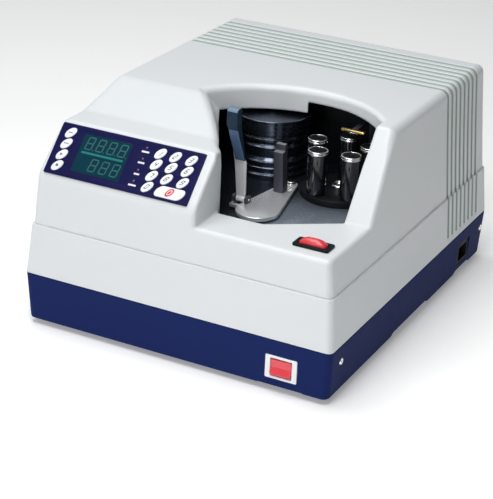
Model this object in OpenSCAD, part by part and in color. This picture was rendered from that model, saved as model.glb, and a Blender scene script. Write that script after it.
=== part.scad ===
// Spindle-type banknote counting machine, bench model.
// Frame: +X right, +Y to the rear, +Z up, origin on the surface it stands on, under the middle.

/* [Body] */
// Overall width at the joint between base and cover
body_w = 350; // [340:1:360]
// Overall depth at the joint between base and cover
body_d = 427; // [420:1:434]
// Height of the joint between base and cover above the bench
joint_z = 58.15; // [56:0.05:60]
// Height of the step on the cover above the bench
band_z = 112.4; // [110:0.1:115]
// Height of the roof
roof_z = 233.5; // [230:0.5:236]
// Wall thickness of the cover moulding
wall = 3; // [2.5:0.5:3.5]
// Height of the rubber feet below the base
foot_h = 6; // [5:1:8]

/* [Pocket] */
// Height of the ledge in front of the note pocket
ledge_z = 151; // [150:0.5:152]
// Top of the metal deck on which the notes stand
deck_z = 140; // [139:0.5:141]
// Radius of the arch that the roof makes over the pocket
arch_r = 119; // [117:0.5:121]

/* [Turret] */
// Radius on which the five spindles stand
pitch_r = 30; // [30:1:30]
// Number of spindles
n_spin = 5; // [5:1:5]
// Diameter of a spindle body
spin_d = 20; // [18:0.5:21]
// Gear module of the sun and planet gears
gear_m = 1; // [1:1:1]
// Teeth on the fixed sun gear
sun_n = 40; // [40:1:40]
// Teeth on the planet gear at the foot of each spindle
planet_n = 20; // [20:1:20]

/* [Panel] */
// Width of the control panel overlay
panel_w = 165.5; // [164:0.5:167]
// Height of the overlay up the slope
panel_h = 57; // [56:0.5:58]
// Half length of an oval key
key_a = 7.2; // [6.8:0.1:7.2]
// Half width of an oval key
key_b = 4.4; // [4:0.1:4.4]
// Slant of the oval keys across the panel, in degrees
key_slant = 48; // [42:1:50]
// Gap around each key in the overlay
key_gap = 0.25; // [0.2:0.05:0.3]

/* [Rib grooves] */
// Number of grooves around the rear of the cover
rib_n = 8; // [6:1:9]
// Distance between grooves
rib_pitch = 12.3; // [11:0.1:12.5]
// Width of a groove
rib_w = 1.6; // [1:0.1:2.5]
// Depth of a groove
rib_deep = 1.2; // [0.8:0.1:1.5]

/* [Hidden] */

// The rocker's lower tip stands proud of the front, so the whole machine sits this much to the rear.
y_shift = 1.25;
hw = body_w / 2;
hd = body_d / 2;
tc = [90, -24.5];
spin_a0 = -118.3;
motor_c = [88.7, 60];
arch_c = [40, -103];
block_x = 18.2;
rock_c = [122.7, -209.478, 29];
lever_c = [20, -110, 149];
pivot_c = [42, -40];
drum_c = [-6, 10];
panel_a = atan2(46, 44);
key_x = [-39.8, -22.9, -4.9];
key_s = [49.7, 37.6, 25.1, 12.9];
fkey_x = -144.4;
fkey_s = [50, 37.7, 25.3, 13];
digit_x = [-118.4, -105.7, -93, -80.3];
lamp_x = -56.3;
lamp_s = [52.6, 40.5, 28, 15.7];

// Moves a polygon's sides inwards by t, the points running anticlockwise.
function unit(v) = v / norm(v);
function left_n(v) = [-v[1], v[0]];
function inset(p, t) = [for (i = [0:len(p) - 1])
  let (a = p[(i + len(p) - 1) % len(p)], b = p[i], c = p[(i + 1) % len(p)],
       m = left_n(unit(b - a)), n = left_n(unit(c - b)))
  b + t * (m + n) / (1 + m * n)];
function arc(c, r, a0, a1, n) = [for (i = [0:n]) let (a = a0 + (a1 - a0) * i / n) [c[0] + r * cos(a), c[1] + r * sin(a)]];
// Rectangle with rounded corners between two corner points.
function rrect(x0, y0, x1, y1, r, n = 6) = concat(
  arc([x1 - r, y0 + r], r, -90, 0, n), arc([x1 - r, y1 - r], r, 0, 90, n),
  arc([x0 + r, y1 - r], r, 90, 180, n), arc([x0 + r, y0 + r], r, 180, 270, n));
// Oval with its long axis on the slant, drawn out sideways by dx each way.
function slant_oval(c, a, b, dx = 0, n = 32) = [for (i = [0:n - 1])
  let (t = 360 * i / n, nx = cos(key_slant) * cos(t) / a - sin(key_slant) * sin(t) / b)
  c + [a * cos(t) * cos(key_slant) - b * sin(t) * sin(key_slant) + (nx > 0 ? dx : -dx),
       a * cos(t) * sin(key_slant) + b * sin(t) * cos(key_slant)]];
// Outline of a spur gear with straight tooth flanks and backlash.
function gear_pts(m, n, tip = 0.78, root = 1.15) = [for (i = [0:n - 1]) each
  let (r = m * n / 2, a = 360 * i / n, q = 360 / n)
  [for (k = [[-0.29, -root], [-0.12, tip], [0.12, tip], [0.29, -root]])
    (r + k[1] * m) * [cos(a + k[0] * q), sin(a + k[0] * q)]]];

// Side outline of the cover over the control panel, and over the note pocket.
side_panel = concat([[-240, 40], [240, 40], [240, 233.5], [-58, 233.5], [-62, 233.2], [-66, 232.2]],
  [[-126, 214.6], [-129, 214], [-160.5, 214], [-162.5, 213.2], [-206, 168], [-240, 132.5]]);
side_pocket = [[-240, 40], [240, 40], [240, 233.5], [-48, 233.5], [-51, 232.4], [-53.5, 229.6],
  [-111.5, 152], [-113, 151], [-240, 151]];
// Cross outline of the upper body with rounded shoulders.
cross_up = concat([[-182, 40], [182, 40]], arc([150.23, 224.5], 9, 4.86, 90, 8), arc([-150.23, 224.5], 9, 90, 175.14, 8));
// Plan of the opening over the note pocket.
pocket = concat([[19.5, -160], [70, -160], [136, -115]],
  arc(arch_c, arch_r, atan2(70.3, 96), 148.7, 28), [[17, -151]]);
deck_plan = [[13, -165], [72, -165], [145, -117], [145, 58], [-82, 58], [-82, -32], [10, -160]];

module place() { translate([0, y_shift, 0]) children(); }
module along_x(x0, x1, p) { translate([x0, 0, 0]) rotate([90, 0, 90]) linear_extrude(x1 - x0) polygon(p); }
module along_y(y0, y1, p) { translate([0, y1, 0]) rotate([90, 0, 0]) linear_extrude(y1 - y0) polygon(p); }
module box(a, b) { translate(a) cube(b - a); }
module rod(c, d, z0, z1, fn = 48) { translate([c[0], c[1], z0]) cylinder(d = d, h = z1 - z0, $fn = fn); }
module on_panel() { translate([0, -206, 168]) rotate([panel_a, 0, 0]) children(); }
module slice(z, p) { translate([0, 0, z]) linear_extrude(0.02) polygon(p); }

module cover_solid(t) {
  hull() {
    slice(joint_z - (t > 0 ? 4 : 0), rrect(-hw + t, -hd + t, hw - t, hd - t, 7));
    slice(band_z - t * 0.9 - 0.02, rrect(-hw + 4.5 + t, -hd + 4.5 + t, hw - 4.5 - t, hd - 4.5 - t, 7));
  }
  intersection() {
    hull() {
      slice(band_z - 8, rrect(-169.5 + t, -207.6 + t, 169.5 - t, 207.8 - t, 7));
      slice(roof_z + 6, rrect(-158 + t, -205 + t, 158 - t, 204.6 - t, 7));
    }
    union() {
      along_x(-200, block_x - t, inset(side_panel, t));
      along_x(-200, 200, inset(side_pocket, t));
    }
    along_y(-230, 230, inset(cross_up, t));
    box([-200, -230, band_z - 6], [200, 230, roof_z + 2]);
  }
}

module screw_at() { for (s = [-1, 1]) for (y = [-186, 200]) translate([s * 173.8, y, 40]) rotate([0, s * 90, 0]) children(); }

module base_pan() {
  color([0.15, 0.16, 0.36]) difference() {
    hull() {
      slice(foot_h, rrect(-hw + 2.8, -hd + 2.8, hw - 2.8, hd - 2.8, 6));
      slice(joint_z - 0.02, rrect(-hw, -hd, hw, hd, 7));
    }
    hull() {
      slice(14, rrect(-hw + 5.4, -hd + 5.4, hw - 5.4, hd - 5.4, 4));
      slice(joint_z + 0.1, rrect(-hw + 3, -hd + 3, hw - 3, hd - 3, 4));
    }
    // hollow under the floor
    translate([0, 0, foot_h - 1]) linear_extrude(6) polygon(rrect(-hw + 6, -hd + 6, hw - 6, hd - 6, 4));
    // shallow arches in the lower edge
    for (y = [[-52, 50], [127, 176]]) along_x(-190, 190, [[y[0], 5], [y[1], 5], [y[1] - 6, 9.6], [y[0] + 6, 9.6]]);
    along_y(-230, -200, [[96, 5], [146, 5], [143, 7.2], [99, 7.2]]);
    // openings for the switch and the inlet
    box([105.3, -230, 16.3], [140.1, -211.2, 41.7]);
    box([108.7, -230, 18.3], [136.7, -200, 39.7]);
    box([160, 134, 16.5], [190, 166, 41.5]);
    // screw holes
    screw_at() { translate([0, 0, -8]) cylinder(d = 4.4, h = 20, $fn = 24); cylinder(d = 8.4, h = 6, $fn = 32); }
  }
}
module rubber_feet() { color([0.08, 0.08, 0.08]) for (x = [-140, 140]) for (y = [-178, 178])
  translate([x, y, 0]) rotate_extrude($fn = 48) polygon([[0, 0], [9, 0], [10.5, 1.5], [11, 11], [0, 11]]); }
module chassis_plate() { color([0.72, 0.74, 0.76]) difference() {
  box([-155, -195, 14], [155, 195, 16]);
  for (x = [-140, 140]) for (y = [-178, 178]) rod([x, y], 8, 13, 17);
  for (y = [-140, -60, 20, 100]) translate([-150, y, 13]) cube([3, 20, 4]);
} }
posts = [[-70, 44], [135, 45], [136, -105], [30, -158], [-42, -82]];
module deck_posts() { color([0.75, 0.76, 0.78]) for (p = posts) { rod(p, 10, 16, deck_z - 3); } }
module cover_screws() { color([0.8, 0.81, 0.82]) screw_at() difference() {
  union() { cylinder(d1 = 7.6, d2 = 6.4, h = 0.9, $fn = 32); translate([0, 0, -9]) cylinder(d = 4, h = 9.2, $fn = 24); }
  for (a = [0, 90]) rotate(a) translate([-2, -0.4, 0.3]) cube([4, 0.8, 1]);
} }

module top_cover() {
  color([0.9, 0.92, 0.93]) difference() {
    cover_solid(0);
    difference() {
      cover_solid(wall);
      // walls that hang around the opening
      intersection() {
        translate([0, 0, 141]) linear_extrude(100) difference() { polygon(inset(pocket, -2.6)); polygon(inset(pocket, -0.01)); }
        union() {
          box([-90, -149, 205], [33, 40, 240]);
          box([33, -60, 217], [132, 40, 240]);
          box([10, -170, 144], [19.5, -149, 240]);
          box([19, -170, 144], [180, -60, 240]);
          box([134, -61, 144], [180, -33, 240]);
        }
      }
      // posts for the display board
      on_panel() for (x = [-132.5, -60.6]) for (s = [16, 46]) translate([x, s, -7]) cylinder(d = 5, h = 6, $fn = 32);
      // tongues that the side screws hold
      for (m = [0, 1]) mirror([m, 0, 0]) for (y = [-186, 200]) box([166.5, y - 8, 57], [176, y + 8, 66]);
    }
    translate([0, 0, 130]) linear_extrude(120) polygon(pocket);
    // windows in the slope for keys, display and lamps
    on_panel() {
      box([-152.6, 5.6, -5], [-136.2, 57.4, 5]);
      box([-129, 10, -5], [-72, 53.7, 5]);
      box([-48, 5.2, -5], [4.6, 57.2, 5]);
      for (s = lamp_s) translate([lamp_x, s, -5]) cylinder(d = 3, h = 10, $fn = 24);
    }
    // opening for the start button
    box([118.4, -188.6, 140], [151.6, -174.4, 160]);
    // grooves around the rear
    difference() {
      for (i = [0:rib_n - 1]) box([-200, 93 + rib_pitch * i - rib_w / 2, joint_z + 6], [200, 93 + rib_pitch * i + rib_w / 2, 250]);
      cover_solid(rib_deep);
    }
  }
  // screw tongues below the joint
  color([0.9, 0.92, 0.93]) difference() {
    for (s = [-1, 1]) for (y = [-186, 200]) box([s * 168.5 - 2, y - 8, 33], [s * 168.5 + 2, y + 8, 62]);
    screw_at() translate([0, 0, -12]) cylinder(d = 4, h = 20, $fn = 24);
  }
}

module cavity_deck() { color([0.22, 0.25, 0.3]) difference() {
  translate([0, 0, deck_z - 3]) linear_extrude(3) polygon(deck_plan);
  rod(tc, 72, deck_z - 4, deck_z + 1, 96);
  rod(pivot_c, 8, deck_z - 4, deck_z + 1);
} }
module cavity_shroud() { color([0.07, 0.08, 0.09]) intersection() {
  translate([0, 0, deck_z]) linear_extrude(110) difference() {
    polygon(deck_plan);
    polygon([[15.2, -170], [180, -170], [142.5, -150], [142.5, 55.5], [-79.5, 55.5], [-79.5, -31], [12.5, -158]]);
  }
  union() {
    along_x(-200, block_x - 4.2, inset(side_panel, 4.2));
    along_x(-200, 200, inset(side_pocket, 4.2));
  }
  box([-90, -157, deck_z], [150, 60, 228]);
} }
module guide_drum() { color([0.13, 0.15, 0.18]) translate([drum_c[0], drum_c[1], 0]) rotate_extrude($fn = 128)
  polygon([[0, deck_z], [43, deck_z], [43, 144.5], [40.5, 145.5], [40.5, 150], [41.3, 150.6], [41.3, 151.6], [40.3, 152.2], [40.3, 157],
    [41.1, 157.5], [41.1, 158.5], [39.5, 159], [37, 162.5], [39.8, 174], [38, 175.5], [37, 177.5], [38, 179.5], [40, 180.5], [40, 183.5],
    [38.2, 184.5], [38.2, 186.5], [40.4, 187.5], [40.4, 201.5], [41.5, 202.3], [41.5, 203.8], [0, 203.8]]); }
module sensor_bracket() { color([0.78, 0.66, 0.3]) {
  box([81, -8.5, 203.8], [107, -4, 206.3]);
  box([91, -8.5, 203.8], [97, 54, 206.3]);
  box([88, 51, deck_z], [100, 54, 206.3]);
} }
module clamp_pivot() { color([0.85, 0.86, 0.87]) difference() {
  union() { rod(pivot_c, 8, deck_z - 3, 148); rod(pivot_c, 11, 146.2, 150); }
  translate([pivot_c[0] - 6, pivot_c[1] - 0.7, 149]) cube([12, 1.4, 2]);
} }
module gear_housing() { color([0.62, 0.64, 0.66]) translate([tc[0], tc[1], 0]) rotate_extrude($fn = 96)
  polygon([[7, 104], [7, 118], [12, 118], [12, 126], [14, 126], [14, 134], [16, 134], [16, 128], [16.01, 116], [43, 116], [43, 137],
    [47, 137], [47, 112], [16, 112], [16, 96], [12, 96], [12, 104]]); }
module sun_gear() { color([0.8, 0.7, 0.35]) difference() {
  translate([tc[0], tc[1], 128]) rotate(spin_a0) linear_extrude(6) polygon(gear_pts(gear_m, sun_n));
  rod(tc, 32, 127, 135, 64);
} }
module turret_bearings() { color([0.8, 0.81, 0.83]) for (z = [96, 118]) difference() {
  rod(tc, 24, z, z + 8, 64); rod(tc, 12.06, z - 1, z + 9, 64);
} }
module drive_motor() { color([0.3, 0.31, 0.33]) difference() {
  union() { rod(motor_c, 54, 16, 68, 64); rod(motor_c, 22, 68, 72); box([motor_c[0] - 32, motor_c[1] - 32, 16], [motor_c[0] + 32, motor_c[1] + 32, 20]); }
  rod(motor_c, 6.1, 60, 80, 32);
} }
module drive_belt() { color([0.06, 0.06, 0.06]) translate([0, 0, 85]) linear_extrude(8) difference() {
  hull() { translate(tc) circle(r = 26.3, $fn = 64); translate(motor_c) circle(r = 14.3, $fn = 64); }
  hull() { translate(tc) circle(r = 24.3, $fn = 64); translate(motor_c) circle(r = 12.3, $fn = 64); }
} }
module vacuum_pump() { color([0.35, 0.37, 0.4]) {
  box([-132, 84, 16], [-52, 136, 20]);
  translate([-124, 110, 46]) rotate([0, 90, 0]) cylinder(d = 50, h = 40, $fn = 64);
  box([-124, 92, 19], [-84, 128, 46]);
  translate([-84.5, 110, 46]) rotate([0, 90, 0]) cylinder(d = 40, h = 30, $fn = 48);
  box([-84.5, 95, 19], [-58, 125, 50]);
  translate([-55, 95, 60]) rotate([0, 90, 0]) cylinder(d = 8, h = 10, $fn = 32);
  box([-72, 88, 48], [-54, 104, 66]);
} }
module elbow(c, r, a0) { translate(c) rotate(a0) rotate_extrude(angle = 90, $fn = 48) translate([r, 0]) circle(d = 10, $fn = 24); }
module vacuum_hose() { color([0.12, 0.12, 0.13]) difference() {
  union() {
    translate([-45, 95, 60]) rotate([0, 90, 0]) cylinder(d = 10, h = 58, $fn = 24);
    elbow([13, 78, 60], 17, 0);
    translate([30, tc[1] + 17, 60]) rotate([-90, 0, 0]) cylinder(d = 10, h = 61 - tc[1], $fn = 24);
    elbow([47, tc[1] + 17, 60], 17, 180);
    translate([47, tc[1], 60]) rotate([0, 90, 0]) cylinder(d = 10, h = tc[0] - 64, $fn = 24);
  }
  translate([-46, 95, 60]) rotate([0, 90, 0]) cylinder(d = 7, h = 30, $fn = 24);
} }
module vacuum_union() { color([0.8, 0.7, 0.4]) difference() {
  union() { rod(tc, 22, 16, 79); translate([tc[0] - 17, tc[1], 60]) rotate([0, 90, 0]) cylinder(d = 10, h = 17, $fn = 32); }
  rod(tc, 8, 55, 80);
} }
module transformer() { color([0.45, 0.4, 0.32]) {
  box([82, 122, 16], [148, 186, 18]);
  box([88, 126, 18], [142, 182, 70]);
  box([94, 118, 28], [136, 190, 60]);
} }
module board(x0, y0, x1, y1, z, parts) {
  color([0.1, 0.35, 0.2]) box([x0, y0, z], [x1, y1, z + 1.6]);
  for (p = parts) color([0.15, 0.15, 0.16]) box([p[0], p[1], z + 1.5], [p[2], p[3], z + 1.6 + p[4]]);
  color([0.7, 0.7, 0.7]) for (x = [x0 + 5, x1 - 5]) for (y = [y0 + 5, y1 - 5]) rod([x, y], 6, 16, z + 0.1, 24);
}
module power_board() { board(-20, 130, 62, 190, 22, [[-8, 140, 12, 160, 26], [18, 142, 44, 158, 18], [0, 166, 30, 182, 14], [36, 164, 52, 184, 30]]); }
module control_board() { board(-150, -182, 4, -94, 24, [[-120, -160, -84, -124, 3], [-60, -160, -30, -146, 3], [-60, -136, -30, -122, 3], [-20, -170, -8, -110, 9], [-142, -150, -132, -110, 9]]); }
module display_board() { color([0.1, 0.35, 0.2]) on_panel() {
  box([-153, 4.5, -8.6], [5, 58.5, -7]);
  for (s = fkey_s) translate([fkey_x, s, -7.05]) cylinder(d = 6, h = 2.4, $fn = 24);
  for (s = [key_s[0], key_s[1], key_s[2]]) for (x = key_x) translate([x, s, -7.05]) cylinder(d = 6, h = 2.4, $fn = 24);
  for (x = [key_x[0], -13.7]) translate([x, key_s[3], -7.05]) cylinder(d = 6, h = 2.4, $fn = 24);
  box([-40, 20, -12], [-10, 44, -8.6]);
} }
module digit_displays() { color([0.85, 0.87, 0.85]) on_panel() {
  for (x = digit_x) box([x - 6.25, 34, -7], [x + 6.25, 53, -1.3]);
  for (i = [1:3]) box([digit_x[i] - 6.25, 10.8, -7], [digit_x[i] + 6.25, 29.8, -1.3]);
} }
module display_window() { color([0.05, 0.28, 0.28]) on_panel() box([-128.4, 10.6, -1], [-72.6, 53.1, 0.9]); }
module key_plan(i, g = 0) {
  if (i == 0) polygon(slant_oval([key_x[0], key_s[3]], key_a + g, key_b + g));
  else if (i < 10) polygon(slant_oval([key_x[(i - 1) % 3], key_s[floor((i - 1) / 3)]], key_a + g, key_b + g));
  else if (i == 10) polygon(slant_oval([-14.05, 11.9], key_a + g, key_b + g, 10.35));
  else polygon(slant_oval([fkey_x, fkey_s[i - 11]], key_a + g, key_b + g));
}
module key(i) { on_panel() translate([0, 0, -4]) linear_extrude(5.7) key_plan(i); }
module panel_overlay() { color([0.12, 0.1, 0.4]) on_panel() difference() {
  linear_extrude(1) polygon(rrect(-157, 3, -157 + panel_w, 3 + panel_h, 1.5, 3));
  box([-128.4, 10.6, -1], [-72.6, 53.1, 2]);
  translate([0, 0, -1]) for (i = [0:14]) linear_extrude(3) key_plan(i, key_gap);
  for (s = lamp_s) translate([lamp_x, s, -1]) cylinder(d = 2.2, h = 3, $fn = 24);
} }
module indicator_lamps() { color([0.9, 0.3, 0.25]) on_panel() for (s = lamp_s) translate([lamp_x, s, -7]) cylinder(d = 2.2, h = 8.4, $fn = 24); }

module switch_housing() { color([0.93, 0.94, 0.95]) difference() {
  union() {
    box([105.5, -213.4, 16.5], [139.9, -211.2, 41.5]);
    box([109, -211.3, 18.6], [136.4, -186, 39.4]);
    for (z = [24, 34]) box([118, -187, z - 2.5], [127, -180, z + 2.5]);
  }
  box([rock_c[0] - 11.7, -220, rock_c[2] - 9.7], [rock_c[0] + 11.7, -198, rock_c[2] + 9.7]);
  translate([rock_c[0] - 13.2, rock_c[1], rock_c[2]]) rotate([0, 90, 0]) cylinder(d = 3.1, h = 26.4, $fn = 32);
} }
module power_rocker() { color([0.88, 0.2, 0.25]) translate(rock_c) rotate([-9, 0, 0]) {
  along_x(-11.3, 11.3, [[-5.4, -7.6], [-3.6, 0], [-5.4, 7.6], [-4, 8], [3.5, 5.5], [5, 0], [3.5, -5.5], [-4, -8]]);
  translate([-13, 0, 0]) rotate([0, 90, 0]) cylinder(d = 3, h = 26, $fn = 32);
} }
module start_bezel() { color([0.07, 0.07, 0.07]) difference() {
  union() {
    translate([0, 0, ledge_z]) linear_extrude(2.5) polygon(rrect(116, -191, 154, -172, 2.5, 4));
    box([118.6, -188.4, 139], [151.4, -174.6, ledge_z + 0.1]);
  }
  box([120.4, -186.8, 141], [149.6, -176.2, 160]);
} }
module start_button() { color([0.92, 0.3, 0.32]) intersection() {
  translate([135, 0, 159.5 - 26.2]) rotate([90, 0, 0]) translate([0, 0, 170]) cylinder(r = 26.2, h = 20, $fn = 128);
  box([120.8, -186.4, 146], [149.2, -176.6, 170]);
} }
module power_inlet() { color([0.06, 0.06, 0.06]) difference() {
  box([150, 134, 16.5], [172.6, 166, 41.5]);
  box([156, 138, 20], [180, 162, 36]);
}
  color([0.8, 0.81, 0.82]) for (y = [143, 150, 157]) box([155, y - 1, y == 150 ? 24 : 28], [166, y + 1, y == 150 ? 28 : 32]);
}

module turret_disc() { color([0.3, 0.32, 0.35]) difference() {
  rod(tc, 81, 141, 147, 96);
  rod(tc, 12, 140, 148);
  for (i = [0:n_spin - 1]) rod(tc + pitch_r * [cos(spin_a0 + 72 * i), sin(spin_a0 + 72 * i)], 8.1, 140, 148);
} }
module turret_shaft() { color([0.8, 0.81, 0.83]) { rod(tc, 12, 80, 152); rod(tc, 18, 147, 152); } }
module turret_pulley() { color([0.5, 0.52, 0.54]) difference() {
  union() { rod(tc, 48, 83, 95, 96); rod(tc, 55, 82, 84.5, 96); rod(tc, 55, 93.5, 95.4, 96); }
  rod(tc, 12, 80, 97);
} }
module spindle(i) {
  a = spin_a0 + 72 * (i - 1);
  translate([tc[0] + pitch_r * cos(a), tc[1] + pitch_r * sin(a), 0]) rotate(a) {
    color([0.75, 0.65, 0.35]) translate([0, 0, 128]) rotate(180 / planet_n) linear_extrude(6) polygon(gear_pts(gear_m, planet_n));
    color([0.05, 0.05, 0.06]) rotate_extrude($fn = 64) polygon([[0, 124], [4, 124], [4, 147.3], [spin_d / 2, 147.3], [spin_d / 2, 190.8],
      [10.7, 190.8], [10.7, 192.3], [10.2, 192.6], [10.2, 193], [10.7, 193.3], [10.7, 194.8], [8.9, 194.8], [8.9, 194.2], [0, 194.2]]);
  }
}
module motor_pulley() { color([0.5, 0.52, 0.54]) { rod(motor_c, 6, 62, 98); rod(motor_c, 24, 84, 94, 64); rod(motor_c, 31, 82, 84.5, 64); rod(motor_c, 31, 93.5, 95.4, 64); } }

module clamp_plate() { color([0.82, 0.83, 0.84]) difference() {
  union() {
    hull() { translate([pivot_c[0], pivot_c[1], 142]) cylinder(r = 7.5, h = 4, $fn = 32); translate([44, -120.5, 142]) cylinder(r = 22.4, h = 4, $fn = 48); }
    box([11.3, -121, 142], [45, -100, 146]);
    for (s = [-1, 1]) translate([lever_c[0] + s * 7.2 - 1.5, -115, 145]) cube([3, 10, 8]);
    translate([lever_c[0] - 8.9, lever_c[1], lever_c[2]]) rotate([0, 90, 0]) cylinder(d = 3, h = 17.8, $fn = 32);
  }
  rod(pivot_c, 8.08, 141, 147);
  box([lever_c[0] - 5.7, -117, 141], [lever_c[0] + 5.7, -103, 147]);
} }
module fixed_jaw() { color([0.25, 0.26, 0.29]) intersection() {
  along_x(25, 55, [[-69, 146], [-58, 146], [-58, 197], [-63.2, 197], [-63.2, 190], [-69, 190]]);
  along_y(-80, -50, [[36.3, 140], [47.2, 140], [44.2, 200], [33.3, 200]]);
} }
module clamp_lever() { color([0.85, 0.86, 0.87]) difference() {
  intersection() {
    union() {
      along_x(0, 40, [[-111.6, 147], [-108.4, 147], [-112.6, 190.4], [-121.8, 222], [-123.4, 250], [-126.4, 250], [-125, 222.6], [-115.8, 191]]);
      translate([0, lever_c[1], lever_c[2]]) rotate([0, 90, 0]) cylinder(r = 3.6, h = 40, $fn = 32);
    }
    along_y(-160, -80, [[lever_c[0] - 4.6, 140], [lever_c[0] + 4.6, 140], [lever_c[0] + 6.2, 190], [lever_c[0] + 5, 255], [lever_c[0] - 7.5, 255], [lever_c[0] - 6.6, 190]]);
  }
  translate([-1, lever_c[1], lever_c[2]]) rotate([0, 90, 0]) cylinder(d = 3.1, h = 42, $fn = 32);
}
}
module lever_grip() { color([0.14, 0.3, 0.42]) intersection() {
  along_x(0, 40, [[-115.9, 191.3], [-125.1, 222.7], [-126.4, 250], [-123.4, 250.01], [-123.4, 252.6], [-134.4, 251.6], [-136, 250], [-136, 231], [-120.4, 192]]);
  along_y(-160, -80, [[lever_c[0] - 6.4, 180], [lever_c[0] + 6, 190], [lever_c[0] + 4.8, 255], [lever_c[0] - 7.3, 255], [lever_c[0] - 7, 222]]);
} }

module key_0() { color("white") key(0); }
module key_clear() { color("white") key(10); }

place() base_pan();
place() rubber_feet();
place() chassis_plate();
place() deck_posts();
place() cover_screws();
place() top_cover();
place() cavity_deck();
place() cavity_shroud();
place() guide_drum();
place() sensor_bracket();
place() clamp_pivot();
place() gear_housing();
place() sun_gear();
place() turret_bearings();
place() drive_motor();
place() drive_belt();
place() vacuum_pump();
place() vacuum_hose();
place() vacuum_union();
place() transformer();
place() power_board();
place() control_board();
place() display_board();
place() digit_displays();
place() display_window();
place() panel_overlay();
place() indicator_lamps();
place() switch_housing();
place() start_bezel();
place() power_inlet();
place() turret_disc();
place() turret_shaft();
place() turret_pulley();
place() spindle(1);  // spindle_1
place() spindle(2);  // spindle_2
place() spindle(3);  // spindle_3
place() spindle(4);  // spindle_4
place() spindle(5);  // spindle_5
place() motor_pulley();
place() clamp_plate();
place() fixed_jaw();
place() clamp_lever();
place() lever_grip();
place() power_rocker();
place() start_button();
place() color("white") key(0);  // key_0
place() color("white") key(1);  // key_1
place() color("white") key(2);  // key_2
place() color("white") key(3);  // key_3
place() color("white") key(4);  // key_4
place() color("white") key(5);  // key_5
place() color("white") key(6);  // key_6
place() color("white") key(7);  // key_7
place() color("white") key(8);  // key_8
place() color("white") key(9);  // key_9
place() color("white") key(10);  // key_clear
place() color("white") key(11);  // key_f1
place() color("white") key(12);  // key_f2
place() color("white") key(13);  // key_f3
place() color("white") key(14);  // key_f4
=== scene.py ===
import math
import bpy
import bmesh
import numpy as np
from mathutils import Vector, Matrix


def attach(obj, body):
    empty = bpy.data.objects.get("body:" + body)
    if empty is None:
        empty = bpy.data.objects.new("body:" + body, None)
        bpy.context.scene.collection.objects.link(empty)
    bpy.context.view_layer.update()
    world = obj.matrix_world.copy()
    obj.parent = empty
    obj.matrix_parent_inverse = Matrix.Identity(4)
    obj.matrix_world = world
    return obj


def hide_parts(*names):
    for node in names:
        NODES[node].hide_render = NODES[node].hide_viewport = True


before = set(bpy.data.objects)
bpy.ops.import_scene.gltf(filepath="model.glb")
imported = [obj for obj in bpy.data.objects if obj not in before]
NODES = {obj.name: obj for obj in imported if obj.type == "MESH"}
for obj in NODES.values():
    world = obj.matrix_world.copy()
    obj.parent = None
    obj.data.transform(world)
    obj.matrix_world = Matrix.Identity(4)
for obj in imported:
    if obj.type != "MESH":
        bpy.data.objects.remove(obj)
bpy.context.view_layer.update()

YS = 1.25                 # mm: the whole machine sits this much to the rear of its own layout
scene = bpy.context.scene
scene.view_settings.view_transform = "Standard"
scene.view_settings.look = "None"

# ---------------------------------------------------------------- materials

def srgb(r, g, b):
    f = lambda c: c / 12.92 if c <= 0.04045 else ((c + 0.055) / 1.055) ** 2.4
    return (f(r / 255), f(g / 255), f(b / 255), 1.0)


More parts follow.
